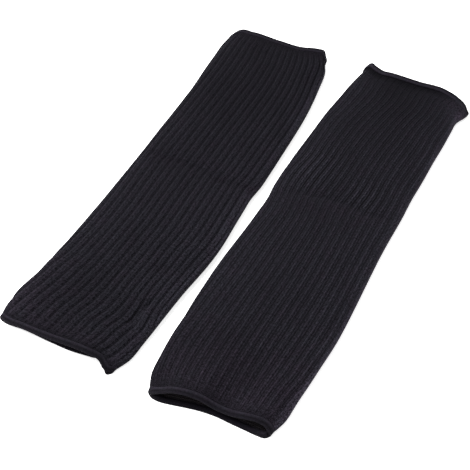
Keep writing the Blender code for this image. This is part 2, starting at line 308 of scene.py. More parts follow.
LEFT_FOLDS = (
    Fold(-0.104, 0.0125, -0.089, 0.0105, 0.0036, -0.0009),
    Fold(-0.089, 0.0105, -0.054, 0.0100, 0.0036, -0.0007),
    Fold(-0.054, 0.0100, -0.037, 0.0045, 0.0036, -0.0008),
    Fold(-0.037, 0.0045, -0.006, 0.0085, 0.0036, -0.0009),
    Fold(-0.034, -0.148, -0.020, -0.170, 0.0070, -0.0007),
    Fold(-0.022, -0.138, -0.025, -0.160, 0.0026, -0.0024),
    Fold(-0.025, -0.160, -0.033, -0.165, 0.0026, -0.0010),
    Fold(-0.017, -0.146, -0.016, -0.168, 0.0055, 0.0014),
    Fold(-0.030, -0.104, -0.008, -0.080, 0.0090, -0.0012),
    Fold(-0.070, -0.100, -0.060, -0.040, 0.0220, 0.0010),
    Fold(-0.075, 0.060, -0.080, 0.130, 0.0240, 0.0010),
)

RIGHT_FOLDS = (
    Fold(0.010, 0.014, 0.026, 0.022, 0.0038, -0.0009),
    Fold(0.026, 0.022, 0.054, 0.027, 0.0038, -0.0010),
    Fold(0.054, 0.027, 0.073, 0.027, 0.0038, -0.0007),
    Fold(0.073, 0.027, 0.087, 0.023, 0.0038, -0.0009),
    Fold(0.087, 0.023, 0.102, 0.027, 0.0038, -0.0008),
    Fold(0.032, 0.050, 0.030, 0.075, 0.0160, 0.0012),
    Fold(0.068, -0.190, 0.072, -0.150, 0.0110, -0.0014),
    Fold(0.060, -0.120, 0.064, -0.040, 0.0240, 0.0010),
    Fold(0.070, 0.080, 0.066, 0.150, 0.0240, 0.0008),
)

# How far the ribs wander to the right of even lines, in ribs, at three places across the top
Drift = namedtuple("Drift", "along left middle right")

LEFT_DRIFT = (
    Drift(-0.195, -2.44, -0.46, 0.43),
    Drift(-0.184, -1.94, -0.31, 0.49),
    Drift(-0.172, -1.18, -0.05, 0.58),
    Drift(-0.160, -0.66, 0.35, 0.71),
    Drift(-0.148, -0.42, 0.45, 0.44),
    Drift(-0.136, -0.18, 0.61, 0.30),
    Drift(-0.124, 0.20, 0.65, 0.26),
    Drift(-0.100, 0.46, 0.67, 0.24),
    Drift(-0.050, 0.46, 0.55, 0.35),
    Drift(0.008, 0.21, 0.52, 0.41),
    Drift(0.056, 0.53, 0.68, 0.53),
    Drift(0.104, 0.77, 0.94, 0.71),
    Drift(0.150, 1.09, 1.20, 0.61),
    Drift(0.164, 0.98, 1.05, 0.39),
    Drift(0.176, 0.79, 0.68, 0.11),
    Drift(0.195, 0.85, 0.47, -0.56),
)

RIGHT_DRIFT = (
    Drift(-0.195, -0.37, 0.19, 0.00),
    Drift(-0.172, -0.42, 0.15, -0.04),
    Drift(-0.148, -0.27, 0.10, 0.05),
    Drift(-0.124, -0.04, 0.17, 0.14),
    Drift(-0.100, 0.24, 0.28, 0.22),
    Drift(-0.076, 0.50, 0.48, 0.29),
    Drift(-0.040, 0.56, 0.52, 0.32),
    Drift(-0.004, 0.66, 0.40, 0.36),
    Drift(0.020, 0.35, 0.19, 0.41),
    Drift(0.044, 0.58, 0.64, 0.50),
    Drift(0.068, 0.96, 0.71, 0.44),
    Drift(0.092, 0.86, 0.73, 0.55),
    Drift(0.116, 0.95, 1.03, 0.75),
    Drift(0.140, 1.38, 1.35, 0.70),
    Drift(0.164, 1.76, 1.97, 1.12),
    Drift(0.178, 1.78, 2.09, 1.35),
    Drift(0.195, 1.68, 2.03, 1.65),
)

# Painted light and shade of the cloth, for how the light falls on it: how light it is at three
# places across the top, and how much lighter its right rim is painted
Wash = namedtuple("Wash", "along left middle right rim")

LEFT_PAINTED_LIGHT = (
    Wash(-0.190, 0.98, 0.76, 0.94, 0.20),
    Wash(-0.155, 0.82, 0.68, 0.99, 0.50),
    Wash(-0.105, 0.79, 0.78, 1.08, 0.50),
    Wash(-0.055, 0.79, 0.79, 1.03, 0.70),
    Wash(-0.005, 0.72, 0.73, 0.97, 0.90),
    Wash(0.045, 0.72, 0.69, 0.88, 0.60),
    Wash(0.095, 0.54, 0.56, 0.78, 1.10),
    Wash(0.145, 0.52, 0.53, 0.71, 1.80),
    Wash(0.190, 0.58, 0.48, 0.70, 2.20),
)

RIGHT_PAINTED_LIGHT = (
    Wash(-0.190, 0.76, 0.96, 1.14, 1.70),
    Wash(-0.155, 0.76, 0.78, 1.00, 2.00),
    Wash(-0.105, 0.83, 0.74, 0.88, 2.00),
    Wash(-0.055, 0.84, 0.78, 0.92, 1.70),
    Wash(-0.005, 0.83, 0.77, 0.91, 1.50),
    Wash(0.045, 0.87, 0.75, 0.88, 1.60),
    Wash(0.095, 0.74, 0.69, 0.86, 2.00),
    Wash(0.145, 0.78, 0.56, 0.88, 2.00),
    Wash(0.170, 0.72, 0.39, 0.85, 1.50),
    Wash(0.190, 0.66, 0.28, 0.94, 0.60),
)

# A patch of the cloth, and what its middle adds to the lightness, the ribs' painted shade and the
# violet. The darker patches along the folds' creases are painted shade, and the lighter ones on the
# right sleeve's two bulges are painted light.
Patch = namedtuple("Patch", "x y reach_x reach_y light ribs violet")

LEFT_PATCHES = (
    Patch(-0.090, 0.009, 0.016, 0.008, -0.10, -0.45, 0.5),
    Patch(-0.028, 0.006, 0.018, 0.006, -0.06, -0.35, 0.4),
    Patch(-0.008, 0.010, 0.007, 0.009, -0.22, -0.30, 0.9),
    Patch(-0.034, 0.191, 0.013, 0.007, -0.22, 0.00, 0.8),
    Patch(-0.088, 0.188, 0.022, 0.013, 0.00, -0.50, 0.7),
    Patch(-0.080, -0.188, 0.024, 0.009, 0.00, -0.50, 0.6),
    Patch(-0.044, -0.190, 0.014, 0.006, 0.00, -0.60, 0.9),
)

RIGHT_PATCHES = (
    Patch(0.030, 0.056, 0.015, 0.022, 0.10, 1.30, -0.4),
    Patch(0.078, 0.042, 0.013, 0.014, 0.08, 1.10, -0.3),
    Patch(0.054, 0.010, 0.036, 0.012, -0.06, -0.45, 0.6),
    Patch(0.060, -0.170, 0.050, 0.016, 0.00, -0.30, 0.2),
    Patch(0.104, 0.188, 0.014, 0.013, 0.15, -0.50, 0.8),
)

# A welt's bead: its ends along the sleeve from the tube's edge, and its faces from the wall's outer
# face
Bead = namedtuple("Bead", "start end bottom top")

PLAIN_BEAD = Bead(-0.0005, 0.0050, -0.0015, 0.0011)
CURLED_BEAD = Bead(-0.0014, 0.0050, -0.0015, 0.0024)

# A sleeve's end: the lengths over which its ribs fade and its painted shadow at the seam fades, how
# much light is left in that shadow, the painted light and shade of its welt at the left, middle and
# right, and of the welt's lower layer there, how far the sides' painted light reaches, how the roll
# swells inwards there, how it curls into a knob at the left corner, and how far it loosens towards
# the right corner
End = namedtuple("End", "rib_fade shadow_fade shadow left middle right"
                        " lower_left lower_middle lower_right reach swell knob loose")

LEFT_NEAR_END = End(rib_fade=0.006, shadow_fade=0.0050, shadow=0.60,
                    left=1.05, middle=0.90, right=0.70,
                    lower_left=2.30, lower_middle=1.50, lower_right=1.50,
                    reach=0.30, swell=0.3, knob=0.0, loose=0.0)
LEFT_FAR_END = End(rib_fade=0.014, shadow_fade=0.0110, shadow=0.72,
                   left=1.00, middle=0.90, right=1.00,
                   lower_left=2.00, lower_middle=2.00, lower_right=2.00,
                   reach=0.10, swell=0.0, knob=0.0, loose=0.0)
RIGHT_NEAR_END = End(rib_fade=0.017, shadow_fade=0.0090, shadow=0.75,
                     left=1.00, middle=1.00, right=1.00,
                     lower_left=0.60, lower_middle=1.20, lower_right=1.20,
                     reach=0.20, swell=1.6, knob=0.0, loose=0.0)
RIGHT_FAR_END = End(rib_fade=0.028, shadow_fade=0.0095, shadow=0.12,
                    left=1.30, middle=1.00, right=1.20,
                    lower_left=2.00, lower_middle=2.00, lower_right=2.00,
                    reach=0.10, swell=0.5, knob=1.1, loose=0.7)

Sleeve = namedtuple("Sleeve", "name face sections near far folds drift wash patches"
                              " near_bead far_bead near_end far_end")

SLEEVES = (
    Sleeve("left", KNIT_FACE, LEFT_SECTIONS, LEFT_NEAR, LEFT_FAR,
           folds=LEFT_FOLDS, drift=LEFT_DRIFT, wash=LEFT_PAINTED_LIGHT, patches=LEFT_PATCHES,
           near_bead=PLAIN_BEAD, far_bead=PLAIN_BEAD,
           near_end=LEFT_NEAR_END, far_end=LEFT_FAR_END),
    Sleeve("right", PURL_FACE, RIGHT_SECTIONS, RIGHT_NEAR, RIGHT_FAR,
           folds=RIGHT_FOLDS, drift=RIGHT_DRIFT, wash=RIGHT_PAINTED_LIGHT, patches=RIGHT_PATCHES,
           near_bead=PLAIN_BEAD, far_bead=CURLED_BEAD,
           near_end=RIGHT_NEAR_END, far_end=RIGHT_FAR_END),
)


def curve(rows, place, column, at):
    """Reads one column of a table on a smooth curve through its rows, level at both ends."""
    known = np.array([row._asdict()[place] for row in rows])
    values = np.array([row._asdict()[column] for row in rows])
    slopes = np.gradient(values, known)
    slopes[0] = 0.0
    slopes[-1] = 0.0
    at = np.clip(at, known[0], known[-1])
    cell = np.clip(np.searchsorted(known, at, side="right") - 1, 0, len(known) - 2)
    span = known[cell + 1] - known[cell]
    t = (at - known[cell]) / span
    level = values[cell] * (1 + 2 * t) * (1 - t) ** 2 + values[cell + 1] * t * t * (3 - 2 * t)
    bend = slopes[cell] * t * (1 - t) ** 2 - slopes[cell + 1] * t * t * (1 - t)
    return level + span * bend


def smooth_step(value):
    """Rises smoothly from 0 at 0 and below to 1 at 1 and above."""
    t = np.clip(value, 0.0, 1.0)
    return t * t * (3 - 2 * t)


def mouth_weights(along):
    """How much the near and the far mouth decide a section's height here."""
    half = SLEEVE_LENGTH / 2
    near = 1.0 - smooth_step((along + half) / MOUTH_FADE)
    far = 1.0 - smooth_step((half - along) / MOUTH_FADE)
    return near, far


def fold_rise(folds, x, y):
    """Height that the folds add to the upper layer at these points."""
    trough = np.zeros_like(x)
    ridge = np.zeros_like(x)
    for fold in folds:
        run_x = fold.x_end - fold.x_start
        run_y = fold.y_end - fold.y_start
        share = ((x - fold.x_start) * run_x + (y - fold.y_start) * run_y) / (run_x ** 2 + run_y ** 2)
        share = np.clip(share, 0.0, 1.0)
        off_x = x - fold.x_start - share * run_x
        off_y = y - fold.y_start - share * run_y
        rise = fold.rise * np.exp(-(off_x ** 2 + off_y ** 2) / fold.half_width ** 2)
        trough = np.minimum(trough, rise)
        ridge = np.maximum(ridge, rise)
    return trough + ridge


def crown_height(sleeve, along, across, x):
    """Height that the upper layer would have with no rounding at the sides."""
    near, far = mouth_weights(along)
    body = curve(sleeve.sections, "along", "crown", along) + fold_rise(sleeve.folds, x, along)
    body = body * (1.0 - near - far)
    at_near = curve(sleeve.near, "across", "height", across) * near
    at_far = curve(sleeve.far, "across", "height", across) * far
    return body + at_near + at_far


def outline(sleeve, along):
    """One section over the top, from its left underside corner to its right one, as x and z."""
    left = curve(sleeve.sections, "along", "left", along)
    right = curve(sleeve.sections, "along", "right", along)
    sweep = np.linspace(math.pi, 0.0, DOME_STEPS)
    power = 2.0 / DOME_POWER
    across = 0.5 + 0.5 * np.sign(np.cos(sweep)) * np.abs(np.cos(sweep)) ** power
    dome = np.abs(np.sin(sweep)) ** power
    x = left + (right - left) * across
    crown = crown_height(sleeve, along, across, x)
    side = SIDE_SHARE * (crown[0] * (1.0 - across) + crown[-1] * across)
    z = side + (crown - side) * dome
    turn = np.linspace(0.0, math.pi / 2, TURN_STEPS)
    rise = 1.0 - np.cos(turn)
    tuck = UNDER_SHARE * (1.0 - np.sin(turn))
    left_x = left + side[0] * tuck
    right_x = right - side[-1] * tuck
    x = np.concatenate([left_x[:-1], x, right_x[-2::-1]])
    z = np.concatenate([side[0] * rise[:-1], z, side[-1] * rise[-2::-1]])
    return left, right, side[0], x, z


def edge_reach(sleeve, along, across, upper_share):
    """How far the sloping mouths move a point of this section along the sleeve."""
    half = SLEEVE_LENGTH / 2
    mouth, sign = (sleeve.far, 1.0) if along > 0 else (sleeve.near, -1.0)
    upper = curve(mouth, "across", "upper", across)
    lower = curve(mouth, "across", "lower", across)
    weight = (along / half) ** 2
    return sign * weight * (lower + (upper - lower) * upper_share)


def section_frame(sleeve, along, places):
    """Points round a section's outer face, and the directions out of the wall there.

    A place from 0 to 1 is a share of the way over the top, and one from 1 to 2 a share of the
    way back along the underside.
    """
    left, right, side, x, z = outline(sleeve, along)
    steps = np.hypot(np.diff(x), np.diff(z))
    share = np.concatenate([[0.0], np.cumsum(steps)]) / steps.sum()
    tangent_x = np.gradient(x, share)
    tangent_z = np.gradient(z, share)
    length = np.hypot(tangent_x, tangent_z)
    on_top = np.clip(places, 0.0, 1.0)
    below = np.clip(places - 1.0, 0.0, 1.0)
    base = np.empty((len(places), 3))
    base[:, 0] = np.interp(on_top, share, x) + below * (x[0] - x[-1])
    base[:, 2] = np.interp(on_top, share, z)
    out = np.zeros((len(places), 3))
    out[:, 0] = np.where(below > 0, 0.0, -np.interp(on_top, share, tangent_z / length))
    out[:, 2] = np.where(below > 0, -1.0, np.interp(on_top, share, tangent_x / length))
    across = np.clip((base[:, 0] - left) / (right - left), 0.0, 1.0)
    upper_share = np.clip(base[:, 2] / (2.0 * side), 0.0, 1.0)
    base[:, 1] = along + edge_reach(sleeve, along, across, upper_share)
    height_fade = np.clip(base[:, 2] / side, 0.0, 1.0)
    high_fade = np.clip(base[:, 2] / side - 1.0, 0.0, 1.0)
    return base, out, height_fade, high_fade


def to_packed_frame(points):
    """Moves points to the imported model's frame, and keeps them on or above the floor."""
    points = points - np.array([PAIR_MIDDLE_X, PAIR_MIDDLE_Y, 0.0])
    points[:, 2] = np.maximum(points[:, 2], 0.0)
    return points


def wale_bump(share, centre, radius):
    """A round wale's height across a rib, from 0 beside it to 1 on its crown."""
    return np.sqrt(np.clip(1.0 - ((share - centre) / radius) ** 2, 0.0, 1.0))


def rib_profile(face, rib):
    """Lift of the outer face at this count of ribs, from 0 in the deepest part to 1."""
    share = rib - np.floor(rib)
    if face.inside_out:
        ridge = wale_bump(share, 1 / 2, RIDGE_WALE)
        flat = np.maximum(wale_bump(share, 1 / 6, FLAT_WALE), wale_bump(share, 5 / 6, FLAT_WALE))
        return np.maximum(ridge, FLAT_RISE * flat)
    return np.maximum(wale_bump(share, 1 / 3, ROUND_WALE), wale_bump(share, 2 / 3, ROUND_WALE))


def waver(along, rib, seed):
    """A slow, small unevenness from -1 to 1 along and between the ribs, the same each run."""
    phase = UNEVEN_PHASE * (np.floor(rib) + seed)
    total = sum(wave.strength * np.sin(along * wave.turn + wave.phase * phase) for wave in UNEVEN_WAVES)
    return total / sum(wave.strength for wave in UNEVEN_WAVES)


def over_top(left, middle, right, places):
    """A parabola over the top through three values, and a straight run back along the underside."""
    slope = (right - left) / 2
    bend = (right + left) / 2 - middle
    off = np.clip((places - 0.5) / COLUMN_REACH, -CURVE_REACH, CURVE_REACH)
    top = middle + off * slope + off ** 2 * bend
    first, last = (middle + side * slope + side ** 2 * bend for side in (-CURVE_REACH, CURVE_REACH))
    below = np.clip(places - 1.0, 0.0, 1.0)
    return np.where(places < 1.0, top, last + (first - last) * below)


def across_top(rows, along, places):
    """Reads a table's left, middle and right columns at one place along, round the section."""
    left, middle, right = (curve(rows, "along", name, along) for name in ("left", "middle", "right"))
    return over_top(left, middle, right, places)


def drifted(sleeve, along, places):
    """Places that the columns of the knit have wandered to, once round the section."""
    return np.mod(places + across_top(sleeve.drift, along, places) / RIB_COUNT, ONCE_ROUND)


def sleeve_end(sleeve, along):
    """The end that this place is nearest to, and how far away the seam of its welt is."""
    end = sleeve.far_end if along > 0 else sleeve.near_end
    return end, SLEEVE_LENGTH / 2 - WELT_LENGTH - abs(along)


def loosened(end, places):
    """How far a welt has loosened at these places, from 0 at its tight part to the end's own share."""
    return end.loose * smooth_step((places - LOOSE_FROM) / LOOSE_FADE) * (places < 1.0)


def beside(places, reach):
    """A bell curve about each side, left then right: 1 at it, and about 0.37 at this reach."""
    left = np.exp(-(np.minimum(places, ONCE_ROUND - places) / reach) ** 2)
    return left, np.exp(-((places - 1.0) / reach) ** 2)


def outer_lift(sleeve, along, rib):
    """How far the ribs stand out of the wall's outer face, at this count of ribs."""
    face = sleeve.face
    end, away = sleeve_end(sleeve, along)
    fade = WELT_RELIEF + (1.0 - WELT_RELIEF) * smooth_step(away / end.rib_fade)
    lift = face.relief * fade * rib_profile(face, rib)
    lift += UNEVEN_HEIGHT * waver(along, rib, face.seed)
    # The cloth turns down into the seam at each mouth
    lift -= SEAM_TURN * (1.0 - smooth_step(away / SEAM_LENGTH))
    return lift


def cloth_violet(face, along, places, rim):
    """How violet the cloth is: towards the near end, and as painted sheen on the rim and along the left
    side.
    """
    near = smooth_step((VIOLET_FROM - along) / VIOLET_FADE)
    across = PURL_VIOLET if face.inside_out else 1.0 - smooth_step(places / KNIT_VIOLET_REACH)
    left = LEFT_VIOLET * (1.0 - smooth_step(places / LEFT_VIOLET_REACH))
    return np.maximum(np.maximum(near * across, face.rim_violet * rim), left)


def cloth_marks(sleeve, along, places, x):
    """Painted light and shade of the cloth, how plainly its ribs show, and how violet it is, at these
    places.
    """
    end, away = sleeve_end(sleeve, along)
    # Painted light and shade over the top, read from the sleeve's table
    light = across_top(sleeve.wash, along, places)
    shadow = 1.0 - smooth_step((away / end.shadow_fade - SHADOW_FULL) / (1.0 - SHADOW_FULL))
    open_at = np.maximum(loosened(end, places), beside(places, SHADOW_GAP)[0])
    light *= 1.0 - (1.0 - end.shadow) * shadow * (1.0 - open_at)
    # Shade gathers in the troughs of the folds
    light *= 1.0 + FOLD_SHADE * np.minimum(fold_rise(sleeve.folds, x, along), 0.0)
    # The rim's wall is lit less than its top, so it is lightened more
    rim = smooth_step((places - sleeve.face.rim_from) / RIM_FADE) * (places < 1.0)
    light *= 1.0 + curve(sleeve.wash, "along", "rim", along) * rim
    ribs = smooth_step(away / end.rib_fade) * (1.0 - RIM_FLATNESS * rim)
    violet = cloth_violet(sleeve.face, along, places, rim)
    for patch in sleeve.patches:
        off = ((x - patch.x) / patch.reach_x) ** 2 + ((along - patch.y) / patch.reach_y) ** 2
        weight = np.exp(-off) * (places < 1.0)
        light *= 1.0 + patch.light * weight
        ribs *= 1.0 + patch.ribs * weight
        violet += patch.violet * weight
    return np.stack([light, ribs, violet], axis=-1)


def tube_rings(count):
    """Places along a tube for this many rings, from its near edge to its far one."""
    seam = SLEEVE_LENGTH / 2 - WELT_LENGTH
    even = np.linspace(-1.0, 1.0, count)
    crowded = np.sin(even * math.pi / 2)
    return seam * (even + RING_CROWDING * (crowded - even))


def once_round(top_count, under_count):
    """Places round a section, this many over its top and along its underside."""
    top = np.arange(top_count) / top_count
    under = 1.0 + np.arange(under_count) / under_count
    return np.concatenate([top, under])


def outer_ring(sleeve, along, places):
    """Points and marks round a tube's ribbed outer face."""
    face = sleeve.face
    rib = places * RIB_COUNT
    places = drifted(sleeve, along, places)
    base, out, height_fade, high_fade = section_frame(sleeve, along, places)
    lift = outer_lift(sleeve, along, rib)
    on_top = places < 1.0
    # The ribs are pressed flatter down the sides
    keep = SIDE_RELIEF + (1.0 - SIDE_RELIEF) * smooth_step(high_fade)
    lift = face.pressed + (lift - face.pressed) * keep
    lift = np.where(on_top, lift * height_fade, 0.0)
    points = base + out * lift[:, None]
    depth = UNDER_GROOVE * (1.0 - rib_profile(face, rib))
    points[:, 2] += np.where(on_top, 0.0, depth)
    return to_packed_frame(points), cloth_marks(sleeve, along, places, base[:, 0])


def inner_ring(sleeve, along, places):
    """Points and marks round a tube's plain inner face."""
    places = drifted(sleeve, along, places)
    base, out = section_frame(sleeve, along, places)[:2]
    return to_packed_frame(base - out * WALL), np.ones((len(places), 3))


class MeshMaker:
    """Collects rings of points and the faces between them, with a knit map and a bake map.

    A face's look is the number of its material on the piece.
    """

    def __init__(self):
        self.points = []
        self.marks = []
        self.count = 0
        self.faces = []
        self.knit = []
        self.bake = []
        self.looks = []

    def grid(self, rings, knit_u, knit_v, bake_box, turned=False, closed=False, look=0):
        """Joins rings of points and their marks, in order, and where closed, the last to the first.

        The knit map's u has one value more than a ring has points.
        """
        n = len(rings[0][0])
        m = len(rings)
        start = self.count
        self.points.append(np.concatenate([points for points, marks in rings]))
        self.marks.append(np.concatenate([marks for points, marks in rings]))
        self.count += n * m
        steps = m if closed else m - 1
        i, j = np.meshgrid(np.arange(steps), np.arange(n), indexing="ij")
        across = np.stack([j, j + 1, j + 1, j], axis=-1).reshape(-1, 4)
        up = np.stack([i, i, i + 1, i + 1], axis=-1).reshape(-1, 4)
        quads = start + (up % m) * n + across % n
        left, low, right, high = bake_box
        bake_u = left + (right - left) * across / n
        bake_v = low + (high - low) * up / steps
        maps = [knit_u[across], knit_v[up], bake_u, bake_v]
        if turned:
            quads = quads[:, ::-1]
            maps = [a[:, ::-1] for a in maps]
        self.faces.append(quads)
        self.looks.append(np.full(len(quads), look))
        self.knit.append(np.stack(maps[:2], axis=-1).reshape(-1, 2))
        self.bake.append(np.stack(maps[2:], axis=-1).reshape(-1, 2))
        return start

    def triangle_strip(self, first, first_at, second, second_at, knit_v, bake_v, turned=False):
        """Joins two closed rings of different counts, in the order of their places."""
        i = j = 0
        n, m = len(first_at), len(second_at)
        first_next = np.append(first_at[1:], ONCE_ROUND)
        second_next = np.append(second_at[1:], ONCE_ROUND)
        faces = []
        knit = []
        bake = []
        while i < n or j < m:
            a, b = first + i % n, second + j % m
            at = first_at[i % n] if i < n else ONCE_ROUND
            if j == m or (i < n and first_next[i] <= second_next[j]):
                corners = (a, first + (i + 1) % n, b)
                i += 1
            else:
                corners = (a, second + (j + 1) % m, b)
                j += 1
            faces.append(corners[::-1] if turned else corners)
            knit += [(at * RIB_COUNT, knit_v)] * 3
            bake += [(at / ONCE_ROUND, bake_v)] * 3
        self.faces.append(np.array(faces))
        self.looks.append(np.zeros(len(faces), dtype=int))
        self.knit.append(np.array(knit))
        self.bake.append(np.array(bake))

    def build(self, name, *materials):
        points = np.concatenate(self.points)
        faces = [tuple(face) for block in self.faces for face in block.tolist()]
        data = bpy.data.meshes.new(name)
        data.from_pydata(points.tolist(), [], faces)
        for map_name, parts in (("knit", self.knit), ("OFBake", self.bake)):
            layer = data.uv_layers.new(name=map_name)
            layer.uv.foreach_set("vector", np.concatenate(parts).astype(np.float32).ravel())
        data.uv_layers["knit"].active_render = True
        marks = np.concatenate(self.marks).astype(np.float32)
        for column, mark in enumerate(("light", "ribs", "violet")):
            data.attributes.new(mark, "FLOAT", "POINT").data.foreach_set("value", marks[:, column])
        data.shade_smooth()
        for material in materials:
            data.materials.append(material)
        looks = np.concatenate(self.looks).astype(np.int32)
        data.polygons.foreach_set("material_index", looks)
        data.update()
        return put_in_scene(name, data)


def make_tube(sleeve, material, inside):
    outer_at = once_round(RIB_COUNT * TOP_STEPS, RIB_COUNT * UNDER_STEPS)
    inner_at = once_round(INNER_TOP, INNER_UNDER)
    stations = tube_rings(RINGS)
    inner_stations = tube_rings(INNER_RINGS)
    outer = [outer_ring(sleeve, y, outer_at) for y in stations]
    inner = [inner_ring(sleeve, y, inner_at) for y in inner_stations]
    outer_u = np.append(outer_at, ONCE_ROUND) * RIB_COUNT
    inner_u = np.append(inner_at, ONCE_ROUND) * RIB_COUNT
    outer_v = stations / COURSE
    inner_v = inner_stations / COURSE
    maker = MeshMaker()
    first_outer = maker.grid(outer, outer_u, outer_v, OUTER_BAKE)
    first_inner = maker.grid(inner, inner_u, inner_v, INNER_BAKE, turned=True, look=1)
    last_outer = first_outer + len(outer_at) * (RINGS - 1)
    last_inner = first_inner + len(inner_at) * (INNER_RINGS - 1)
    maker.triangle_strip(first_outer, outer_at, first_inner, inner_at,
                         outer_v[0], NEAR_STRIP_BAKE, turned=True)
    maker.triangle_strip(last_outer, outer_at, last_inner, inner_at, outer_v[-1], FAR_STRIP_BAKE)
    return maker.build(sleeve.name + "_sleeve_knit", material, inside)


def bead_points(bead):
    """A rounded profile of run along the sleeve and rise out of the wall, once round."""
    turn = np.linspace(math.pi, -math.pi, BEAD_STEPS, endpoint=False)
    power = 2.0 / BEAD_POWER
    run = np.sign(np.cos(turn)) * np.abs(np.cos(turn)) ** power
    rise = np.sign(np.sin(turn)) * np.abs(np.sin(turn)) ** power
    middle = (bead.start + bead.end) / 2
    level = (bead.bottom + bead.top) / 2
    run = middle + run * (bead.end - bead.start) / 2
    rise = level + rise * (bead.top - bead.bottom) / 2
    return run, rise


def welt_marks(end, places, share):
    """Marks of a welt round its mouth, with its painted light and shade, at this share of its roll."""
    # Painted light and shade at the left, middle and right, and on the lower layer near the sides
    light = over_top(end.left, end.middle, end.right, places)
    at_left, at_right = beside(places, end.reach)
    lower = end.lower_middle + (end.lower_left - end.lower_middle) * at_left
    lower += (end.lower_right - end.lower_middle) * at_right
    up_side = 1.0 - smooth_step(np.minimum(places, 1.0 - places) / LOWER_FADE)
    light += np.where(places < 1.0, up_side, 1.0) * (lower - light)
    # The shadow at the seam is open at both sides
    at_left, at_right = beside(places, WELT_GAP)
    shadow = (1.0 - end.shadow) * (1.0 - smooth_step(share / WELT_SHADOW))
    shadow *= (1.0 - at_left) * (1.0 - at_right) * (1.0 - loosened(end, places))
    light *= 1.0 - shadow
    return np.stack([light, np.ones_like(places), np.full_like(places, WELT_VIOLET)], axis=-1)


def make_welt(sleeve, side, sign, bead, end, material):
    places = once_round(WELT_TOP, WELT_UNDER)
    run, rise = bead_points(bead)
    seam = SLEEVE_LENGTH / 2 - WELT_LENGTH
    around = np.hypot(np.diff(np.append(run, run[0])), np.diff(np.append(rise, rise[0])))
    shares = np.concatenate([[0.0], np.cumsum(around)]) / around.sum()
    swell = 1.0 + end.swell * sum(beside(places, SWELL_REACH))
    knob = end.knob * np.exp(-((places - KNOB_PLACE) / KNOB_REACH) ** 2)
    firm = 1.0 - LOOSE_FLATNESS * loosened(end, places)
    rings = []
    for step_run, step_rise, share in zip(run, rise, shares):
        base, out, height_fade, high_fade = section_frame(sleeve, sign * (seam + step_run), places)
        # A roll stands out less where it turns round the sides, and swells inwards there
        roll = height_fade * (SIDE_ROLL + (1.0 - SIDE_ROLL) * high_fade + knob) * firm
        lift = step_rise * (roll if step_rise > 0 else swell)
        rings.append((to_packed_frame(base + out * lift[:, None]), welt_marks(end, places, share)))
    knit_u = np.append(places, ONCE_ROUND) * RIB_COUNT
    knit_v = shares * WELT_COURSES
    maker = MeshMaker()
    maker.grid(rings, knit_u, knit_v, WELT_BAKE, turned=sign > 0, closed=True)
    return maker.build(sleeve.name + "_welt_" + side + "_knit", material)


# A gain of a material's value: the value times the scale, plus the offset
Gain = namedtuple("Gain", "scale offset")

# A noise on the knit map: how fast it varies for each rib across and each course along, and its
# detail
Noise = namedtuple("Noise", "across along detail")

# A painted tone of light and shade at a share of the way across a rib, or round a welt's roll
Shade = namedtuple("Shade", "share tone")


class Nodes:
    """Short calls for building a shader's nodes."""

    def __init__(self, name):
        self.material = bpy.data.materials.new(name)
        self.material.use_nodes = True
        self.tree = self.material.node_tree
        self.shader = self.tree.nodes["Principled BSDF"]

    def link(self, value, socket):
        if isinstance(value, bpy.types.NodeSocket):
            self.tree.links.new(value, socket)
        else:
            socket.default_value = value

    def math(self, kind, *values):
        node = self.tree.nodes.new("ShaderNodeMath")
        node.operation = kind
        for socket, value in zip(node.inputs, values):
            self.link(value, socket)
        return node.outputs[0]

    def gain(self, value, gain):
        return self.math("MULTIPLY_ADD", value, gain.scale, gain.offset)

    def between(self, value, low, high):
        return self.math("MINIMUM", self.math("MAXIMUM", value, low), high)

    def knit_map(self):
        """The knit map as a vector, the count of ribs across and the count of courses along."""
        node = self.tree.nodes.new("ShaderNodeUVMap")
        node.uv_map = "knit"
        split = self.tree.nodes.new("ShaderNodeSeparateXYZ")
        self.tree.links.new(node.outputs[0], split.inputs[0])
        return node.outputs[0], split.outputs[0], split.outputs[1]

    def mark(self, name):
        node = self.tree.nodes.new("ShaderNodeAttribute")
        node.attribute_name = name
        return node.outputs["Fac"]

    def noise(self, vector, noise):
        mapping = self.tree.nodes.new("ShaderNodeMapping")
        mapping.inputs["Scale"].default_value = (noise.across, noise.along, 1.0)
        self.link(vector, mapping.inputs["Vector"])
        node = self.tree.nodes.new("ShaderNodeTexNoise")
        node.inputs["Scale"].default_value = 1.0
        node.inputs["Detail"].default_value = noise.detail
        self.tree.links.new(mapping.outputs[0], node.inputs["Vector"])
        return node.outputs["Fac"]

    def blend(self, share, low, high):
        node = self.tree.nodes.new("ShaderNodeMix")
        node.data_type = "RGBA"
        node.clamp_factor = False
        self.link(share, node.inputs[0])
        self.link(low, node.inputs[6])
        self.link(high, node.inputs[7])
        return node.outputs[2]

    def ramp(self, value, shades):
        """A smooth curve through these shades, which ends as it starts."""
        node = self.tree.nodes.new("ShaderNodeValToRGB")
        node.color_ramp.interpolation = "CARDINAL"
        stops = node.color_ramp.elements
        rows = shades + (Shade(1.0, shades[0].tone),)
        stops[0].position = rows[0].share
        stops[1].position = rows[-1].share
        for row in rows[1:-1]:
            stops.new(row.share)
        for stop, row in zip(stops, rows):
            stop.color = (row.tone, row.tone, row.tone, 1.0)
        self.link(value, node.inputs[0])
        return node.outputs[0]

    def bump(self, height, distance):
        node = self.tree.nodes.new("ShaderNodeBump")
        node.inputs["Distance"].default_value = distance
        self.link(height, node.inputs["Height"])
        self.tree.links.new(node.outputs[0], self.shader.inputs["Normal"])


# Colours of the yarn
YARN_DARK = (0.0010, 0.0009, 0.0014, 1.0)
YARN_LIGHT = (0.0268, 0.0256, 0.0342, 1.0)
YARN_VIOLET = (0.0306, 0.0246, 0.0358, 1.0)
# The inside's colour, lighter than the outer yarn: painted light in the sleeves' shaded inside
INSIDE_YARN_PAINTED_LIGHT = (0.0440, 0.0380, 0.0420, 1.0)

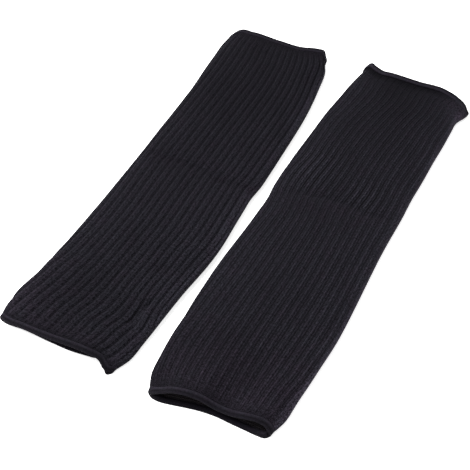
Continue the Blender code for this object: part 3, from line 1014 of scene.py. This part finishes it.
# Finishes, by the shader's inputs
YARN_FINISH = {
    "Roughness": 0.80,
    "Specular IOR Level": 0.03,
    "Sheen Weight": 0.02,
    "Sheen Roughness": 0.5,
    "Sheen Tint": (0.85, 0.78, 1.0, 1.0),
}
INSIDE_FINISH = {"Roughness": 0.95, "Specular IOR Level": 0.02}
FLOOR_FINISH = {
    "Base Color": (0.9, 0.9, 0.9, 1.0),
    "Roughness": 0.9,
    "Specular IOR Level": 0.0,
    "Emission Color": WHITE,
    "Emission Strength": 0.65,
}

# Form of the loops: how many courses a knit loop's legs slant by for each wale across, how their
# wave shows, and how many courses a purl loop's arc sways by
LEG_SLANT = 1.7
LEG_WAVE = Gain(0.40, 0.60)
PURL_SWAY = 0.22

# Depth of the loops' bump, and how much the fuzz of the yarn adds to it
KNIT_BUMP = 0.00040
WELT_BUMP = 0.00022
INSIDE_BUMP = 0.00030
FUZZ = 0.5

# What scales the tone: the loops, flecks of lighter yarn, and slow patches of the cloth
FLECK_NOISE = Noise(4.5, 0.9, 3.0)
PATCH_NOISE = Noise(0.5, 0.05, 2.0)
KNIT_LOOPS = Gain(0.7, 0.55)
KNIT_FLECKS = Gain(4.6, -1.3)
KNIT_PATCHES = Gain(0.6, 0.70)
WELT_LOOPS = Gain(0.3, 0.80)
WELT_FLECKS = Gain(2.4, -0.20)

# Patches that look plum instead of slate, how much of a piece's own violet is added, and the
# highest tone, where 1 is the light yarn
PLUM_NOISE = Noise(0.9, 0.13, 1.0)
PLUM = Gain(2.4, -1.05)
VIOLET_SHARE = 0.7
TONE_LIMIT = 1.8

# How light the plain cloth beside a welt looks
PLAIN_TONE = 0.33

# Painted shade and light across one rib, from its deepest line and back to it, on the knit face
# and then the purl face: painted shade in the grooves, painted light on the wales, and one flank
# painted lighter than the other as the key light falls
KNIT_SHADES = (
    Shade(0.00, 0.16),
    Shade(0.10, 0.21),
    Shade(0.20, 0.38),
    Shade(0.32, 0.50),
    Shade(0.48, 0.35),
    Shade(0.66, 0.36),
    Shade(0.82, 0.37),
    Shade(0.92, 0.24),
)

PURL_SHADES = (
    Shade(0.00, 0.18),
    Shade(0.06, 0.30),
    Shade(0.12, 0.36),
    Shade(0.20, 0.35),
    Shade(0.34, 0.36),
    Shade(0.42, 0.61),
    Shade(0.49, 0.61),
    Shade(0.58, 0.40),
    Shade(0.66, 0.39),
    Shade(0.74, 0.39),
    Shade(0.80, 0.32),
    Shade(0.88, 0.17),
    Shade(0.95, 0.11),
)

# Painted light and shade round a welt's roll, from the seam over its crest to the mouth and back
# inside to the seam: a painted highlight on the crest, painted shade in the seam and under the roll
NEAR_WELT_SHADES = (
    Shade(0.00, 0.22),
    Shade(0.07, 0.26),
    Shade(0.13, 0.46),
    Shade(0.20, 0.40),
    Shade(0.27, 0.25),
    Shade(0.33, 0.13),
    Shade(0.41, 0.21),
    Shade(0.47, 0.21),
    Shade(0.55, 0.14),
    Shade(0.68, 0.33),
    Shade(0.92, 0.25),
)

FLAT_WELT_SHADES = (
    Shade(0.00, 0.28),
    Shade(0.08, 0.32),
    Shade(0.14, 0.38),
    Shade(0.21, 0.28),
    Shade(0.30, 0.13),
    Shade(0.42, 0.16),
    Shade(0.75, 0.20),
    Shade(0.92, 0.18),
)

CURLED_WELT_SHADES = (
    Shade(0.00, 0.16),
    Shade(0.07, 0.20),
    Shade(0.13, 0.40),
    Shade(0.20, 0.36),
    Shade(0.28, 0.18),
    Shade(0.40, 0.16),
    Shade(0.75, 0.20),
    Shade(0.92, 0.16),
)


def stitch_height(nodes, wale, course, purl):
    """Height of the loops from 0 to 1: slanting legs on a knit face, arcs on a purl face."""
    two_pi = 2.0 * math.pi
    local = nodes.math("FRACT", wale)
    if purl:
        turn = nodes.math("COSINE", nodes.math("MULTIPLY", local, two_pi))
        arc = nodes.math("ADD", course, nodes.math("MULTIPLY", turn, PURL_SWAY))
        wave = nodes.math("COSINE", nodes.math("MULTIPLY", arc, two_pi))
        return nodes.math("MULTIPLY_ADD", wave, 0.5, 0.5)
    leg = nodes.math("ABSOLUTE", nodes.math("SUBTRACT", local, 0.5))
    slant = nodes.math("MULTIPLY_ADD", leg, LEG_SLANT, course)
    wave = nodes.math("COSINE", nodes.math("MULTIPLY", slant, two_pi))
    strand = nodes.math("SINE", nodes.math("MULTIPLY", leg, two_pi))
    return nodes.math("MULTIPLY", strand, nodes.gain(wave, LEG_WAVE))


def set_finish(shader, finish):
    for name, value in finish.items():
        shader.inputs[name].default_value = value


def colour_with_painted_light(nodes, vector, tone):
    """Gives the shader the yarn's finish, and its colour at this tone under the piece's painted light and
    violet marks.
    """
    tone = nodes.math("MULTIPLY", tone, nodes.mark("light"))
    plum = nodes.gain(nodes.noise(vector, PLUM_NOISE), PLUM)
    violet = nodes.math("MULTIPLY_ADD", nodes.mark("violet"), VIOLET_SHARE, plum)
    light = nodes.blend(nodes.between(violet, 0.0, 1.0), YARN_LIGHT, YARN_VIOLET)
    colour = nodes.blend(nodes.between(tone, 0.0, TONE_LIMIT), YARN_DARK, light)
    nodes.link(colour, nodes.shader.inputs["Base Color"])
    set_finish(nodes.shader, YARN_FINISH)


def knit_material(name, face):
    nodes = Nodes(name)
    vector, rib, course = nodes.knit_map()
    # A rib's wales start at its edges on the purl face, and half a wale in on the knit face
    wale = nodes.math("MULTIPLY_ADD", rib, float(WALES), 0.0 if face.inside_out else 0.5)
    share = nodes.math("FRACT", rib)
    off = nodes.math("ABSOLUTE", nodes.math("SUBTRACT", share, 0.5))
    knit = stitch_height(nodes, wale, course, purl=False)
    purl = stitch_height(nodes, wale, course, purl=True)
    # Knit loops show on all but the grooves of the knit face, and only on the purl face's ridges
    on_knit = nodes.math("LESS_THAN", off, RIDGE_BAND if face.inside_out else KNIT_BAND)
    on_purl = nodes.math("SUBTRACT", 1.0, on_knit)
    height = nodes.math("ADD", nodes.math("MULTIPLY", knit, on_knit), nodes.math("MULTIPLY", purl, on_purl))
    # Painted shade and light across the rib; near a welt the ribs sink into plain cloth
    shade = nodes.ramp(share, PURL_SHADES if face.inside_out else KNIT_SHADES)
    above_plain = nodes.math("SUBTRACT", shade, PLAIN_TONE)
    tone = nodes.math("MULTIPLY_ADD", above_plain, nodes.mark("ribs"), PLAIN_TONE)
    speck = nodes.noise(vector, FLECK_NOISE)
    patch = nodes.noise(vector, PATCH_NOISE)
    for value, gain in ((height, KNIT_LOOPS), (speck, KNIT_FLECKS), (patch, KNIT_PATCHES)):
        tone = nodes.math("MULTIPLY", tone, nodes.gain(value, gain))
    colour_with_painted_light(nodes, vector, tone)
    nodes.bump(nodes.math("MULTIPLY_ADD", speck, FUZZ, height), KNIT_BUMP)
    return nodes.material


def welt_material(name, shades):
    nodes = Nodes(name)
    vector, rib, course = nodes.knit_map()
    wale = nodes.math("MULTIPLY", rib, float(WALES))
    height = stitch_height(nodes, wale, course, purl=False)
    # Painted highlight and shade round the roll
    tone = nodes.ramp(nodes.math("DIVIDE", course, float(WELT_COURSES)), shades)
    speck = nodes.noise(vector, FLECK_NOISE)
    for value, gain in ((height, WELT_LOOPS), (speck, WELT_FLECKS)):
        tone = nodes.math("MULTIPLY", tone, nodes.gain(value, gain))
    colour_with_painted_light(nodes, vector, tone)
    nodes.bump(height, WELT_BUMP)
    return nodes.material


def inside_material(name):
    """The inner face, a plain purl fabric that the lamps hardly reach, coloured lighter than the outer yarn
    as painted light.
    """
    nodes = Nodes(name)
    rib, course = nodes.knit_map()[1:]
    wale = nodes.math("MULTIPLY", rib, float(WALES))
    height = stitch_height(nodes, wale, course, purl=True)
    nodes.link(nodes.blend(height, YARN_DARK, INSIDE_YARN_PAINTED_LIGHT), nodes.shader.inputs["Base Color"])
    set_finish(nodes.shader, INSIDE_FINISH)
    nodes.bump(height, INSIDE_BUMP)
    return nodes.material


def put_in_scene(name, data):
    item = bpy.data.objects.new(name, data)
    bpy.context.scene.collection.objects.link(item)
    return item


def point_along(item, direction):
    """Turns a camera or a light to look in this direction."""
    item.rotation_mode = "QUATERNION"
    item.rotation_quaternion = direction.to_track_quat("-Z", "Y")


def make_camera():
    azimuth = math.radians(CAMERA_AZIMUTH)
    elevation = math.radians(CAMERA_ELEVATION)
    level = math.cos(elevation)
    back = Vector((math.sin(azimuth) * level, -math.cos(azimuth) * level, math.sin(elevation)))
    data = bpy.data.cameras.new("camera")
    data.lens = CAMERA_LENS
    data.sensor_width = SENSOR_WIDTH
    data.clip_start = CLIP_START
    data.clip_end = CLIP_END
    camera = put_in_scene("camera", data)
    camera.location = Vector(CAMERA_TARGET) + back * CAMERA_DISTANCE
    point_along(camera, -back)
    bpy.context.scene.camera = camera


def make_key_light():
    data = bpy.data.lights.new("key", "AREA")
    data.shape = "SQUARE"
    data.size = KEY_SIZE
    data.energy = KEY_POWER
    light = put_in_scene("key", data)
    light.location = KEY_PLACE
    point_along(light, Vector(KEY_AIM) - Vector(KEY_PLACE))


def make_floor():
    data = bpy.data.meshes.new("floor")
    corners = [(x * FLOOR_HALF, y * FLOOR_HALF, 0.0) for x, y in ((-1, -1), (1, -1), (1, 1), (-1, 1))]
    data.from_pydata(corners, [], [(0, 1, 2, 3)])
    material = bpy.data.materials.new("floor_white")
    material.use_nodes = True
    set_finish(material.node_tree.nodes["Principled BSDF"], FLOOR_FINISH)
    data.materials.append(material)
    floor = put_in_scene("floor", data)
    floor.location = (0.0, 0.0, -FLOOR_DROP)


def make_world():
    world = bpy.data.worlds.new("studio")
    world.use_nodes = True
    background = world.node_tree.nodes["Background"]
    background.inputs["Color"].default_value = WHITE
    background.inputs["Strength"].default_value = WORLD_STRENGTH
    bpy.context.scene.world = world
    bpy.context.scene.view_settings.view_transform = "Standard"


def build():
    make_camera()
    make_floor()
    make_world()
    make_key_light()
    near_look = welt_material("near_welt_knit", NEAR_WELT_SHADES)
    flat_look = welt_material("flat_welt_knit", FLAT_WELT_SHADES)
    curled_look = welt_material("curled_welt_knit", CURLED_WELT_SHADES)
    inside_look = inside_material("inner_knit")
    for sleeve in SLEEVES:
        look = knit_material(sleeve.name + "_knit", sleeve.face)
        tube = make_tube(sleeve, look, inside_look)
        near = make_welt(sleeve, "near", -1.0, sleeve.near_bead, sleeve.near_end, near_look)
        far_look = curled_look if sleeve.far_bead is CURLED_BEAD else flat_look
        far = make_welt(sleeve, "far", 1.0, sleeve.far_bead, sleeve.far_end, far_look)
        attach(tube, "root")
        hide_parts(sleeve.name + "_tube")
        for welt, side in ((near, "near"), (far, "far")):
            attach(welt, "root")
            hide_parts(sleeve.name + "_welt_" + side)


build()
